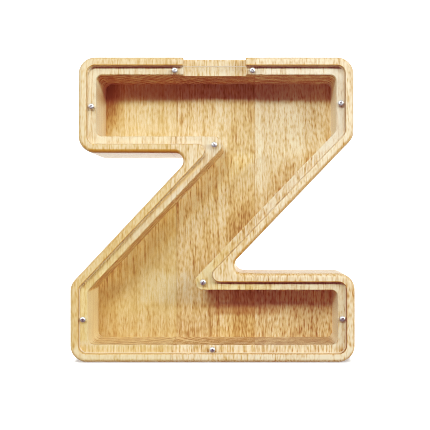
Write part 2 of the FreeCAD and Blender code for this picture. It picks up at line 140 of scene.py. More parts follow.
def wood(name, seed, pith, spacing, lean, tones, rings, long, middling, short, mottle, seams, front=0.0, sill=0.0, foot=0.0, heel=None):
    """Ring-porous timber with its grain along Z, as a solid texture in millimetres of the part's own frame.

    pith is where the heart of the tree lay (X, Y), so a cut across the grain shows arcs about it and a cut along
    the grain shows streaks. tones run from the pale ground to the brown of the pores. long, middling and short are
    how strongly the streaks of each length show. seams are the X of the glue lines at the board's edges. front makes
    the front faces darker; sill and foot are painted light and shade that make the lowest strip of the front faces and
    the lower end of the panel darker, lighter where negative; heel is painted shade on the panel's left edge: how much,
    from which X to which, and from which height to which.
    how much, from which X to which, and from which height to which.
    """
    t = Tree(name)
    place = t.add("ShaderNodeTexCoord")
    mm = t.vec("SCALE", place.outputs["Object"], scale=1000.0)
    x, depth, height = t.split(mm)
    facing = t.split(place.outputs["Normal"])
    away = (seed * 131.7, seed * 57.3, seed * 211.9)
    here = t.vec("ADD", mm, away)

    # fibres wander a little on their way up the board
    drift = t.noise(t.vec("MULTIPLY", here, (1 / 60, 1 / 60, 1 / 150)), 1.0, 2.0, 0.5).outputs["Color"]
    drift = t.vec("MULTIPLY", t.vec("SUBTRACT", drift, (0.5, 0.5, 0.5)), (7.0, 7.0, 0.0))
    wiggle = t.noise(t.vec("MULTIPLY", here, (1 / 11, 1 / 11, 1 / 34)), 1.0, 2.0, 0.5).outputs["Color"]
    wiggle = t.vec("MULTIPLY", t.vec("SUBTRACT", wiggle, (0.5, 0.5, 0.5)), (1.1, 1.1, 0.0))
    grain = t.vec("ADD", t.vec("ADD", mm, drift), wiggle)
    gx, gy, gz = t.split(grain)
    gx = t.math("ADD", gx, t.math("MULTIPLY", gz, lean))
    grain = t.join(gx, gy, gz)
    shifted = t.vec("ADD", grain, away)

    # growth rings about the heart, no two years alike
    radius = t.vec("LENGTH", t.vec("MULTIPLY", t.vec("SUBTRACT", grain, (pith[0], pith[1], 0.0)), (1.0, 1.0, 0.0)))
    years = t.math("DIVIDE", radius, spacing)
    uneven = t.noise(dims="1D", w=t.math("ADD", t.math("MULTIPLY", years, 0.31), seed * 3.1), scale=1.0, detail=2.0).outputs["Fac"]
    years = t.math("ADD", years, t.math("MULTIPLY", uneven, 1.7))
    season = t.math("FRACT", years)
    early = t.math("MULTIPLY", t.span(season, 0.02, 0.12), t.span(season, 0.62, 0.22))
    late = t.math("MULTIPLY", t.span(season, 0.60, 0.92), t.span(season, 1.0, 0.93))
    tone_by_year = t.noise(dims="1D", w=t.math("ADD", t.math("MULTIPLY", years, 0.9), seed * 7.7), scale=1.0, detail=3.0, rough=0.6).outputs["Fac"]

    # long streaks, shorter dashes, open pores and fine fibre, all drawn out along the grain
    def streaks(width, length, shift, detail):
        at = t.vec("MULTIPLY", t.vec("ADD", shifted, (shift, -shift, 3 * shift)), (1 / width, 1 / width, 1 / length))
        n = t.math("SUBTRACT", t.noise(at, 1.0, detail, 0.5).outputs["Fac"], 0.5)
        # dark marks are narrow and strong, pale ones broad and faint
        return t.math("MULTIPLY", n, t.math("ADD", 0.93, t.math("MULTIPLY", n, 1.3)))

    line = streaks(1.22, 60.0, 0.0, 1.0)
    dash = streaks(1.15, 13.0, 17.3, 1.0)
    tick = streaks(1.08, 3.6, 41.9, 0.0)
    fibre = streaks(0.30, 5.0, 67.1, 2.0)
    pore = t.span(streaks(0.42, 6.0, 90.7, 1.0), 0.07, 0.20)
    pore = t.math("MULTIPLY", pore, t.math("ADD", 0.3, t.math("MULTIPLY", early, 0.7)))
    blotch = t.noise(t.vec("MULTIPLY", shifted, (1 / 21, 1 / 21, 1 / 80)), 1.0, 2.0, 0.5).outputs["Fac"]

    # where the surface lies: across the grain, on a wall, on the ledge, on the front or on the panel
    across = t.span(t.math("ABSOLUTE", facing[2]), 0.45, 0.95)
    upright = t.span(t.math("ABSOLUTE", facing[1]), 0.75, 0.35)
    flat = t.span(t.math("ABSOLUTE", facing[1]), 0.75, 0.95)
    # the outside of the box: its ends, its foot and head, the two slopes and the shelf and soffit of the gaps
    sideways, upward = t.math("ABSOLUTE", facing[0]), t.math("ABSOLUTE", facing[2])
    slanted = t.math("MULTIPLY", t.span(sideways, 0.4, 0.6), t.span(upward, 0.4, 0.6))
    beyond = t.math("MULTIPLY", t.math("ADD", t.math("SUBTRACT", x, height), 113.0), facing[2])
    outer = t.math("MAXIMUM", t.span(t.math("ABSOLUTE", x), 95.0, 98.0), t.math("MULTIPLY", slanted, t.span(beyond, 8.0, -8.0)))
    outer = t.math("MAXIMUM", outer, t.math("MAXIMUM", t.span(height, 8.0, 4.0), t.span(height, 212.0, 217.0)))
    shelf = t.math("MULTIPLY", t.math("MULTIPLY", t.span(height, 57.0, 61.0), t.span(height, 72.0, 68.0)), t.span(facing[2], 0.5, 0.8))
    soffit = t.math("MULTIPLY", t.math("MULTIPLY", t.span(height, 143.0, 147.0), t.span(height, 158.0, 154.0)), t.span(facing[2], -0.5, -0.8))
    outer = t.math("MAXIMUM", outer, t.math("MAXIMUM", shelf, soffit))
    wall = t.math("MULTIPLY", t.math("MULTIPLY", upright, t.math("SUBTRACT", 1.0, outer)), t.span(depth, -20.6, -19.6))
    ledge = t.math("MULTIPLY", flat, t.math("MULTIPLY", t.span(depth, -22.0, -20.6), t.span(depth, -18.0, -19.2)))
    panel = t.math("MULTIPLY", flat, t.math("MULTIPLY", t.span(depth, 16.0, 18.3), t.span(depth, 22.0, 20.0)))
    face = t.math("MULTIPLY", flat, t.span(depth, -23.4, -24.4))
    outward = t.math("ABSOLUTE", facing[1])
    rounded = t.math("MULTIPLY", t.span(outward, 0.992, 0.72), t.span(depth, -21.6, -22.6))
    rounded = t.math("MULTIPLY", rounded, t.span(outward, 0.10, 0.30))
    under = t.math("MULTIPLY", t.span(facing[2], -0.03, -0.33), t.span(depth, -22.0, -23.0))
    under = t.math("MULTIPLY", under, t.span(outward, 0.10, 0.30))
    level = t.span(t.math("ADD", t.math("ABSOLUTE", facing[0]), t.math("MULTIPLY", facing[2], 0.5)), 0.02, -0.10, 0.48, 1.0)
    under = t.math("MULTIPLY", under, t.math("MULTIPLY", level, t.span(height, 4.0, 9.0, 0.22, 1.0)))
    recess = t.math("MULTIPLY", t.span(outward, 0.35, 0.15), t.span(depth, -22.3, -22.9))
    slot = t.math("MULTIPLY", flat, t.math("MULTIPLY", t.span(depth, -17.0, -16.0), t.span(depth, -13.0, -14.0)))
    slot = t.math("MULTIPLY", slot, t.span(height, 214.3, 213.0))
    low = t.span(height, 14.0, 10.0)
    slope = t.math("MULTIPLY", t.span(t.math("SUBTRACT", x, height), -102.0, -84.0), t.math("MULTIPLY", t.span(height, 68.0, 80.0), t.span(height, 158.0, 148.0)))

    body = t.math("ADD", 0.262, t.math("MULTIPLY", t.math("SUBTRACT", tone_by_year, 0.5), 1.6 * rings))
    for part, share in ((line, long), (dash, middling), (tick, short), (pore, 0.30), (fibre, 0.40)):
        body = t.math("ADD", body, t.math("MULTIPLY", part, share))
    body = t.math("ADD", body, t.math("MULTIPLY", t.math("SUBTRACT", blotch, 0.5), mottle))
    # wood cut across the grain shows its rings, and drinks more finish than wood cut along it
    body = t.math("ADD", body, t.math("MULTIPLY", across, t.math("ADD", 0.02, t.math("MULTIPLY", late, t.math("ADD", 0.26, t.math("MULTIPLY", wall, 0.90))))))
    body = t.math("ADD", body, t.math("MULTIPLY", t.math("SUBTRACT", 1.0, across), t.math("MULTIPLY", late, 0.12)))
    body = t.math("ADD", body, t.math("MULTIPLY", ledge, t.math("MULTIPLY", t.math("ADD", line, dash), 0.6)))
    # painted shade and light on the panel: darker overall and, by foot, towards its lower end; darker at its foot left
    # of centre, beside the right slope, at the right end of the top bar and, by heel, along its left edge; lighter
    # under the roof of the lower bar left of centre and beside the right end wall of the lower bar
    panel_shading = t.math("ADD", 0.055, t.math("MULTIPLY", t.span(height, 78.0, 40.0), foot))
    panel_shading = t.math("ADD", panel_shading, t.math("MULTIPLY", t.span(height, 40.0, 18.0), t.math("MULTIPLY", t.span(x, -86.0, -70.0, 0.5, 1.0), t.span(x, -14.0, 10.0, 0.23, 0.07))))
    eave = t.math("MULTIPLY", t.math("MULTIPLY", t.span(x, -64.0, -44.0), t.span(x, 2.0, -10.0)), t.math("MULTIPLY", t.span(height, 35.0, 43.0), t.span(height, 66.0, 56.0)))
    panel_shading = t.math("SUBTRACT", panel_shading, t.math("MULTIPLY", eave, 0.22))
    panel_shading = t.math("ADD", panel_shading, t.math("MULTIPLY", t.math("MULTIPLY", slope, t.span(height, 74.0, 92.0)), 0.18))
    panel_shading = t.math("SUBTRACT", panel_shading, t.math("MULTIPLY", t.math("MULTIPLY", t.span(x, 74.0, 88.0), t.span(height, 60.0, 54.0)), 0.14))
    panel_shading = t.math("ADD", panel_shading, t.math("MULTIPLY", t.math("MULTIPLY", t.span(x, 83.0, 88.5), t.span(height, 146.0, 160.0)), 0.15))
    if heel:
        panel_shading = t.math("ADD", panel_shading, t.math("MULTIPLY", t.math("MULTIPLY", t.span(x, heel[1], heel[2]), t.span(height, heel[3], heel[4])), heel[0]))
    flank = t.math("MULTIPLY", t.span(t.math("SUBTRACT", x, height), -115.0, -127.0), t.math("MULTIPLY", t.span(height, 46.0, 60.0), t.span(height, 158.0, 148.0)))
    flank = t.math("MULTIPLY", flank, panel)
    nook = t.math("MULTIPLY", panel, t.math("MULTIPLY", t.span(x, 5.0, 80.0, 0.25, 1.0), t.math("MULTIPLY", t.span(x, -12.0, 4.0), t.math("MULTIPLY", t.span(height, 35.5, 42.0), t.span(height, 64.0, 56.0)))))
    # painted light: the panel beside the left slope (flank) and under the roof of the lower bar right of centre (nook)
    # is lighter, its grain kept
    body = t.math("ADD", body, t.math("SUBTRACT", t.math("MULTIPLY", panel, panel_shading), t.math("ADD", t.math("MULTIPLY", flank, t.math("SUBTRACT", 0.12, t.math("MULTIPLY", t.math("ADD", line, dash), 0.75))), t.math("MULTIPLY", nook, t.math("SUBTRACT", 0.22, t.math("MULTIPLY", t.math("ADD", line, dash), 0.8))))))
    # painted light: the lowest strip of the front faces is lighter where sill is negative
    body = t.math("ADD", body, t.math("MULTIPLY", face, t.math("ADD", front, t.math("MULTIPLY", t.span(height, 14.0, 7.0), sill))))
    # painted light and shade on the walls: paler, most where they face left; darker where they face down; less pale
    # where they lie across the grain and face up
    wall_shading = t.math("ADD", t.span(facing[0], -0.4, -0.8, 0.34, 0.54), t.span(facing[2], -0.1, -0.5, 0.0, -0.42))
    wall_shading = t.math("SUBTRACT", wall_shading, t.math("MULTIPLY", across, t.span(facing[2], -0.2, 0.3, 0.0, 0.22 + 0.8 * foot)))
    wall_shading = t.math("MULTIPLY", wall, wall_shading)
    broad = t.noise(t.vec("MULTIPLY", shifted, (1 / 6, 1 / 6, 1 / 70)), 1.0, 2.0, 0.5).outputs["Fac"]
    body = t.math("ADD", body, t.math("MULTIPLY", wall, t.math("MULTIPLY", t.math("SUBTRACT", broad, 0.5), 1.9)))
    body = t.math("SUBTRACT", body, t.math("ADD", t.math("MULTIPLY", wall_shading, 0.4), t.math("MULTIPLY", ledge, t.math("SUBTRACT", t.math("SUBTRACT", 0.14, t.math("MULTIPLY", low, 0.12)), t.math("MULTIPLY", slope, 0.19)))))
    body = t.math("SUBTRACT", body, t.math("MULTIPLY", slot, 0.16))
    ramp = t.add("ShaderNodeValToRGB")
    ramp.color_ramp.interpolation = "LINEAR"
    stops = ramp.color_ramp.elements
    while len(stops) < len(tones):
        stops.new(0.5)
    for i, tone in enumerate(tones):
        stops[i].position = i / (len(tones) - 1)
        stops[i].color = (*tone, 1.0)
    t.put(ramp.inputs[0], body)
    colour = ramp.outputs["Color"]
    # painted light: the panel beside the left slope and under the roof of the lower bar is lighter, the walls paler as
    # set above, and the ledge at the right end of the top bar lighter; the ledge is a little paler all along, less so
    # low down and beside the right slope
    colour = t.mix(flank, colour, t.mix(1.0, colour, (1.17, 1.13, 0.98), "MULTIPLY"))
    colour = t.mix(nook, colour, t.mix(1.0, colour, (1.15, 1.16, 1.10), "MULTIPLY"))
    pale = t.math("ADD", t.math("MULTIPLY", ledge, t.math("MULTIPLY", t.math("SUBTRACT", 1.0, t.math("MAXIMUM", low, slope)), 0.14)), t.math("MULTIPLY", wall_shading, 1.75))
    pale = t.math("ADD", pale, t.math("MULTIPLY", ledge, t.math("MULTIPLY", t.math("MULTIPLY", t.span(x, 84.0, 90.0), t.span(height, 150.0, 165.0)), 0.26)))
    colour = t.mix(pale, colour, (0.95, 0.84, 0.62))
    # painted shade: the panel a little darker
    colour = t.mix(panel, colour, t.mix(1.0, colour, (0.955, 0.985, 0.97), "MULTIPLY"))
    # painted shading: the foot of the panel is greyer on the left, and a darker strip crosses it below the roof of the lower bar
    sole = t.math("MULTIPLY", panel, t.math("MULTIPLY", t.span(height, 38.0, 20.0), t.span(x, 10.0, -10.0)))
    colour = t.mix(sole, colour, t.mix(1.0, colour, (0.965, 1.015, 1.22), "MULTIPLY"))
    strip = t.math("MULTIPLY", t.math("MULTIPLY", t.span(x, -8.0, 2.0), t.span(x, 18.0, 75.0, 1.0, 0.34)), t.math("MULTIPLY", t.span(height, 27.5, 31.0), t.span(height, 40.5, 36.5)))
    colour = t.mix(t.math("MULTIPLY", panel, strip), colour, t.mix(1.0, colour, (0.74, 0.62, 0.52), "MULTIPLY"))
    # painted shading: the back and the upper part of the left end wall of the top bar
    end = t.math("MULTIPLY", wall, t.math("MULTIPLY", t.span(facing[0], 0.4, 0.8), t.span(height, 154.0, 162.0)))
    end_shade = t.math("MAXIMUM", t.math("MULTIPLY", t.span(depth, 5.0, 19.0), 0.75), t.math("MULTIPLY", t.span(depth, -18.0, 6.0, 0.3, 1.0), t.math("MULTIPLY", t.span(height, 202.0, 195.0), t.span(height, 185.0, 195.0))))
    colour = t.mix(t.math("MULTIPLY", end, end_shade), colour, t.mix(1.0, colour, (0.70, 0.58, 0.45), "MULTIPLY"))
    # painted tones: the lower ledge and walls are yellower; the strip of ledge at the foot of the rim along the left
    # slope, where the rim's shadow falls, is painted an orange shade
    aged = t.math("MULTIPLY", t.math("MAXIMUM", t.math("MULTIPLY", ledge, t.span(height, 12.0, 17.0, 0.0, 1.0)), t.math("MULTIPLY", wall, t.math("SUBTRACT", 0.6, t.math("MULTIPLY", across, 0.6)))), t.span(height, 96.0, 70.0))
    aged = t.math("MULTIPLY", aged, t.span(x, 55.0, 35.0, 0.25, 1.0))
    colour = t.mix(aged, colour, t.mix(1.0, colour, (1.0, 0.96, 0.76), "MULTIPLY"))
    lane = t.math("MULTIPLY", t.span(t.math("SUBTRACT", x, height), -149.6, -152.0), t.math("MULTIPLY", t.span(height, 56.0, 66.0), t.span(height, 148.0, 138.0)))
    colour = t.mix(t.math("MULTIPLY", ledge, t.math("MULTIPLY", lane, 0.85)), colour, (0.98, 0.69, 0.31))
    # painted shade: the rounded edges are darker and browner, most on the undersides of the edges that run across the
    # grain; the rim's inner wall is a little darker on its sides and slopes and much darker where it faces left, and
    # painted lighter where it faces down
    colour = t.mix(t.math("MULTIPLY", rounded, 0.26), colour, (0.52, 0.255, 0.035))
    colour = t.mix(t.math("MULTIPLY", under, 0.84), colour, (0.62, 0.31, 0.03))
    recess_shade = t.math("MULTIPLY", t.span(facing[2], -0.3, -0.1, 0.0, 0.30), t.span(facing[2], 0.8, 0.95, 1.0, 0.0))
    recess_shade = t.math("ADD", recess_shade, t.math("MULTIPLY", t.span(facing[0], -0.2, -0.6), 0.90))
    colour = t.mix(t.math("MULTIPLY", recess, recess_shade), colour, (0.20, 0.09, 0.025))
    colour = t.mix(t.math("MULTIPLY", recess, t.span(facing[2], -0.1, -0.4, 0.0, 0.8)), colour, (0.95, 0.84, 0.62))

    # glue lines: a hair of darker, harder wood where two boards meet
    glue = 0.0
    for at in seams:
        near = t.span(t.math("ABSOLUTE", t.math("SUBTRACT", x, at)), 0.45, 0.10)
        glue = near if glue == 0.0 else t.math("MAXIMUM", glue, near)
    if seams:
        colour = t.mix(t.math("MULTIPLY", glue, 0.38), colour, tones[-1])

    rough = t.math("ADD", 0.47, t.math("MULTIPLY", pore, 0.22))
    rough = t.math("ADD", rough, t.math("MULTIPLY", fibre, 0.16))
    relief = t.math("SUBTRACT", t.math("MULTIPLY", fibre, 0.25), t.math("MULTIPLY", pore, 0.7))
    relief = t.math("SUBTRACT", relief, t.math("ADD", t.math("MULTIPLY", dash, 0.6), t.math("MULTIPLY", tick, 0.4)))
    bump = t.add("ShaderNodeBump")
    bump.inputs["Strength"].default_value = 0.35
    bump.inputs["Distance"].default_value = 0.00018
    t.put(bump.inputs["Height"], relief)

    s = t.add("ShaderNodeBsdfPrincipled")
    t.put(s.inputs["Base Color"], colour)
    t.put(s.inputs["Roughness"], rough)
    t.put(s.inputs["Normal"], bump.outputs[0])
    s.inputs["IOR"].default_value = 1.45
    s.inputs["Specular IOR Level"].default_value = 0.35
    return t.out(s.outputs[0])


boards = {
    "centre_board": wood(
        "oak_centre", 1.0, (28.0, 48.0), 5.4, 0.012,
        ((0.89, 0.74, 0.49), (0.80, 0.59, 0.31), (0.62, 0.395, 0.15), (0.41, 0.22, 0.06)),
        0.30, 1.06, 0.85, 0.86, 0.25, (-30.0, 30.6), 0.0, -0.15, 0.13),
    "upper_left_board": wood(
        "oak_upper_left", 2.3, (-120.0, 70.0), 5.8, -0.01,
        ((0.90, 0.76, 0.49), (0.80, 0.60, 0.31), (0.64, 0.41, 0.15), (0.43, 0.22, 0.05)),
        0.24, 0.50, 0.46, 0.60, 0.30, (-30.0,), 0.05, 0.0, 0.0, (0.66, -69.0, -81.0, 162.0, 192.0)),
    "lower_left_board": wood(
        "oak_lower_left", 3.1, (-95.0, 62.0), 5.8, 0.015,
        ((0.87, 0.71, 0.42), (0.77, 0.565, 0.265), (0.61, 0.385, 0.13), (0.41, 0.21, 0.05)),
        0.18, 0.34, 0.42, 0.52, 0.30, (-30.0,), 0.07, -0.33, 0.0, (0.21, -72.0, -90.0, 80.0, 60.0)),
    "upper_right_board": wood(
        "oak_upper_right", 4.7, (70.0, 90.0), 5.4, 0.03,
        ((0.96, 0.84, 0.61), (0.88, 0.70, 0.43), (0.70, 0.475, 0.22), (0.48, 0.26, 0.08)),
        0.28, 0.56, 0.70, 0.80, 0.36, (30.6,), 0.04),
    "lower_right_board": wood(
        "oak_lower_right", 5.9, (75.0, 85.0), 5.4, -0.02,
        ((0.88, 0.74, 0.49), (0.77, 0.57, 0.31), (0.59, 0.37, 0.155), (0.40, 0.20, 0.06)),
        0.34, 0.74, 0.90, 1.04, 0.34, (30.6,), -0.14, -0.20, 0.02),
}
for node, material in boards.items():
    mesh = nodes_by_name[node].data
    mesh.materials.clear()
    mesh.materials.append(material)


# ---------------------------------------------------------------- clear acrylic window

def acrylic_face():
    t = Tree("clear_acrylic_sheet")
    place = t.add("ShaderNodeTexCoord")
    mm = t.vec("SCALE", place.outputs["Object"], scale=1000.0)
    ripple = t.noise(t.vec("MULTIPLY", mm, (1 / 60, 1 / 60, 1 / 60)), 1.0, 1.0, 0.4).outputs["Fac"]
    haze = t.noise(t.vec("MULTIPLY", mm, (1 / 24, 1 / 24, 1 / 24)), 1.0, 3.0, 0.6).outputs["Fac"]
    bump = t.add("ShaderNodeBump")
    bump.inputs["Strength"].default_value = 0.2
    bump.inputs["Distance"].default_value = 0.0003
    t.put(bump.inputs["Height"], t.math("MULTIPLY", ripple, 0.15))
    s = t.add("ShaderNodeBsdfPrincipled")
    t.put(s.inputs["Base Color"], t.mix(haze, (0.990, 0.994, 0.990), (0.980, 0.988, 0.984)))
    s.inputs["Roughness"].default_value = 0.0
    t.put(s.inputs["Normal"], bump.outputs[0])
    s.inputs["IOR"].default_value = 1.49
    s.inputs["Transmission Weight"].default_value = 1.0
    clear = t.add("ShaderNodeBsdfTransparent")
    clear.inputs["Color"].default_value = (1.0, 1.0, 1.0, 1.0)
    pick = t.add("ShaderNodeMixShader")
    path = t.add("ShaderNodeLightPath")
    t.put(pick.inputs[0], t.math("MAXIMUM", path.outputs["Is Shadow Ray"], path.outputs["Is Diffuse Ray"]))
    t.put(pick.inputs[1], s.outputs[0])
    t.put(pick.inputs[2], clear.outputs[0])
    return t.out(pick.outputs[0])


def acrylic_edge():
    """The sawn edge, the broken corner and the drilled holes: frosted by the cutter, with its fine lines across."""
    t = Tree("frosted_acrylic_edge")
    place = t.add("ShaderNodeTexCoord")
    mm = t.vec("SCALE", place.outputs["Object"], scale=1000.0)
    tool = t.noise(t.vec("MULTIPLY", mm, (1 / 0.7, 1 / 30, 1 / 0.7)), 1.0, 2.0, 0.5).outputs["Fac"]
    cloud = t.noise(t.vec("MULTIPLY", mm, (1 / 14, 1 / 14, 1 / 14)), 1.0, 3.0, 0.5).outputs["Fac"]
    bump = t.add("ShaderNodeBump")
    bump.inputs["Strength"].default_value = 0.3
    bump.inputs["Distance"].default_value = 0.0001
    t.put(bump.inputs["Height"], tool)
    s = t.add("ShaderNodeBsdfPrincipled")
    # painted reflection: the amber tint stands in for the wood that shows through the edges
    t.put(s.inputs["Base Color"], t.mix(t.span(cloud, 0.3, 0.7), (0.90, 0.77, 0.56), (0.82, 0.69, 0.48)))
    t.put(s.inputs["Roughness"], t.math("ADD", 0.42, t.math("MULTIPLY", tool, 0.2)))
    t.put(s.inputs["Normal"], bump.outputs[0])
    s.inputs["IOR"].default_value = 1.49
    return t.out(s.outputs[0])


def sheet():
    """The window as cut: clear faces, with frosted edges and holes of their own finish."""
    bm = bmesh.new()
    bm.from_mesh(nodes_by_name["front_window"].data)
    bmesh.ops.remove_doubles(bm, verts=bm.verts, dist=1e-6)
    bmesh.ops.recalc_face_normals(bm, faces=bm.faces)
    for f in bm.faces:
        f.material_index = 0 if abs(f.normal.y) > 0.9 else 1
        f.smooth = False
    mesh = bpy.data.meshes.new("window_sheet")
    bm.to_mesh(mesh)
    bm.free()
    mesh.materials.append(acrylic_face())
    mesh.materials.append(acrylic_edge())
    obj = bpy.data.objects.new("window_sheet", mesh)
    scene.collection.objects.link(obj)
    obj.visible_shadow = False  # lamplight goes straight through, edges and all
    obj.visible_diffuse = False
    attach(obj, "window")
    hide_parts("front_window")


sheet()


# ---------------------------------------------------------------- screws

def plated_steel():
    t = Tree("nickel_plated_steel")
    place = t.add("ShaderNodeTexCoord")
    # distances from the screw's own axis, in millimetres: the box round a screw is centred on it
    off = t.vec("MULTIPLY", t.vec("SUBTRACT", place.outputs["Generated"], (0.5, 0.0, 0.5)), (4.2, 13.3, 4.2))
    lathe = t.vec("LENGTH", t.vec("MULTIPLY", off, (1.0, 0.0, 1.0)))
    mm = t.vec("SCALE", place.outputs["Object"], scale=1000.0)
    speck = t.noise(mm, 2.2, 3.0, 0.6).outputs["Fac"]
    rings = t.noise(dims="1D", w=lathe, scale=9.0, detail=2.0).outputs["Fac"]
    s = t.add("ShaderNodeBsdfPrincipled")
    plate = t.mix(t.span(speck, 0.3, 0.75), (0.84, 0.83, 0.81), (0.70, 0.69, 0.67))
    # painted shade down in the cross
    cross_shade = t.math("MULTIPLY", t.span(lathe, 1.42, 1.28), t.math("MULTIPLY", t.span(t.split(off)[1], 0.16, 0.34), t.span(t.split(off)[1], 1.25, 1.15)))
    t.put(s.inputs["Base Color"], t.mix(t.math("MULTIPLY", cross_shade, 0.78), plate, (0.19, 0.185, 0.175)))
    t.put(s.inputs["Roughness"], t.math("ADD", 0.37, t.math("MULTIPLY", rings, 0.14)))
    s.inputs["Metallic"].default_value = 1.0
    bump = t.add("ShaderNodeBump")
    bump.inputs["Strength"].default_value = 0.15
    bump.inputs["Distance"].default_value = 0.00004
    t.put(bump.inputs["Height"], rings)
    t.put(s.inputs["Normal"], bump.outputs[0])
    return t.out(s.outputs[0])


def loose(name, bm):
    mesh = bpy.data.meshes.new(name)
    bm.to_mesh(mesh)
    bm.free()
    obj = bpy.data.objects.new(name, mesh)
    scene.collection.objects.link(obj)
    return obj


def pan_head():
    """Millimetres, axis along Z, bearing face at Z = 0."""
    profile = ((1.95, 0.0), (2.08, 0.07), (2.1, 0.18), (2.1, 0.40), (2.06, 0.62), (1.95, 0.82), (1.76, 0.99),
               (1.48, 1.13), (1.14, 1.22), (0.76, 1.275), (0.38, 1.295))
    turns = 56
    bm = bmesh.new()
    low = bm.verts.new((0, 0, 0))
    high = bm.verts.new((0, 0, 1.3))
    rows = [[bm.verts.new((r * math.cos(2 * math.pi * i / turns), r * math.sin(2 * math.pi * i / turns), z)) for i in range(turns)] for r, z in profile]
    for i in range(turns):
        j = (i + 1) % turns
        bm.faces.new((low, rows[0][j], rows[0][i]))
        bm.faces.new((high, rows[-1][i], rows[-1][j]))
        for one, two in zip(rows, rows[1:]):
            bm.faces.new((one[i], one[j], two[j], two[i]))
    bmesh.ops.recalc_face_normals(bm, faces=bm.faces)
    return loose("head", bm)


def cross_bit():
    """The tapered cross that the driver leaves in the head."""
    bm = bmesh.new()
    rows = []
    for z, reach, half in ((1.5, 1.24, 0.36), (0.42, 0.66, 0.22)):
        corners = []
        for quarter in range(4):
            c, s = (1, 0, -1, 0)[quarter], (0, 1, 0, -1)[quarter]
            for u, v in ((reach, -half), (reach, half), (half, half)):
                corners.append(bm.verts.new((u * c - v * s, u * s + v * c, z)))
        rows.append(corners)
    for corners, flip in ((rows[0], False), (rows[1], True)):
        inner = [corners[2], corners[5], corners[8], corners[11]]
        bm.faces.new(inner[::-1] if flip else inner)
        for q in range(4):
            arm = [corners[3 * q - 1], corners[3 * q], corners[3 * q + 1], corners[3 * q + 2]]
            bm.faces.new(arm[::-1] if flip else arm)
    for i in range(12):
        j = (i + 1) % 12
        bm.faces.new((rows[0][i], rows[1][i], rows[1][j], rows[0][j]))
    bmesh.ops.recalc_face_normals(bm, faces=bm.faces)
    return loose("bit", bm)


def threaded_shank():
    """A right-hand thread wound on a core, as one strip that goes round and round: smooth neck above, drawn to a point below."""
    pitch, steps, neck, tip = 0.8, 36, -1.3, -12.0
    profile = ((0.0, 0.78), (0.42, 0.78), (0.64, 1.1), (0.72, 1.1))
    start = neck + 2 * pitch
    count = int((start - tip) / pitch + 2) * steps
    bm = bmesh.new()

    def spot(n, part):
        share, r = profile[part]
        z = start - pitch * (n / steps + share)
        a = -2 * math.pi * n / steps
        if z >= neck:
            z, r = neck, 0.9
        else:
            grown = min(1.0, (neck - z) / pitch)
            r = 0.9 * (1 - grown) + r * grown
        if z <= tip:
            z, r = tip, 0.0
        else:
            r *= min(1.0, (z - tip) / 2.6)
        return bm.verts.new((r * math.cos(a), r * math.sin(a), z))

    rows = [[spot(n, part) for part in range(len(profile))] for n in range(count + steps + 1)]
    for n in range(count):
        for part in range(len(profile) - 1):
            bm.faces.new((rows[n][part], rows[n + 1][part], rows[n + 1][part + 1], rows[n][part + 1]))
        bm.faces.new((rows[n][-1], rows[n + 1][-1], rows[n + 1 + steps][0], rows[n + steps][0]))
    bmesh.ops.remove_doubles(bm, verts=bm.verts, dist=1e-5)
    bmesh.ops.dissolve_degenerate(bm, edges=bm.edges, dist=1e-6)
    bmesh.ops.delete(bm, geom=[v for v in bm.verts if not v.link_faces], context="VERTS")
    ring = [e for e in bm.edges if len(e.link_faces) == 1]
    grown = bmesh.ops.extrude_edge_only(bm, edges=ring)["geom"]
    for v in grown:
        if isinstance(v, bmesh.types.BMVert):
            v.co.z = 0.25
    bmesh.ops.holes_fill(bm, edges=[e for e in bm.edges if len(e.link_faces) == 1], sides=0)
    bmesh.ops.recalc_face_normals(bm, faces=bm.faces)
    return loose("shank", bm)


def one_screw():
    """The whole screw as one closed skin."""
    head, bit, shank = pan_head(), cross_bit(), threaded_shank()
    for other, how in ((bit, "DIFFERENCE"), (shank, "UNION")):
        step = head.modifiers.new(how, "BOOLEAN")
        step.object, step.operation, step.solver = other, how, "EXACT"
    seen = bpy.context.evaluated_depsgraph_get()
    mesh = bpy.data.meshes.new_from_object(head.evaluated_get(seen))
    for obj in (head, bit, shank):
        data = obj.data
        bpy.data.objects.remove(obj)
        bpy.data.meshes.remove(data)
    return mesh


steel = plated_steel()
master = one_screw()
TURNED = {
    "slot_left_screw": 12, "slot_right_screw": 51, "upper_left_screw": 33, "upper_right_screw": 70, "inner_upper_screw": 22,
    "inner_lower_screw": 63, "lower_left_screw": 5, "lower_right_screw": 40, "bottom_screw": 80,
}
for node, degrees in TURNED.items():
    low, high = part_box(node)
    seat = Vector(((low[0] + high[0]) / 2, high[1] - 0.012, (low[2] + high[2]) / 2))
    mesh = master.copy()
    mesh.name = node + "_turned"
    mesh.transform(Matrix.Translation(seat) @ Matrix.Rotation(math.radians(90), 4, "X") @ Matrix.Rotation(math.radians(degrees), 4, "Z") @ Matrix.Scale(0.001, 4))
    for p in mesh.polygons:
        p.use_smooth = True
    mesh.set_sharp_from_angle(angle=math.radians(32))
    mesh.materials.clear()
    mesh.materials.append(steel)
    screw = bpy.data.objects.new(node + "_turned", mesh)
    scene.collection.objects.link(screw)
    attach(screw, node)
    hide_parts(node)
bpy.data.meshes.remove(master)


# ---------------------------------------------------------------- stage: floor, light and camera

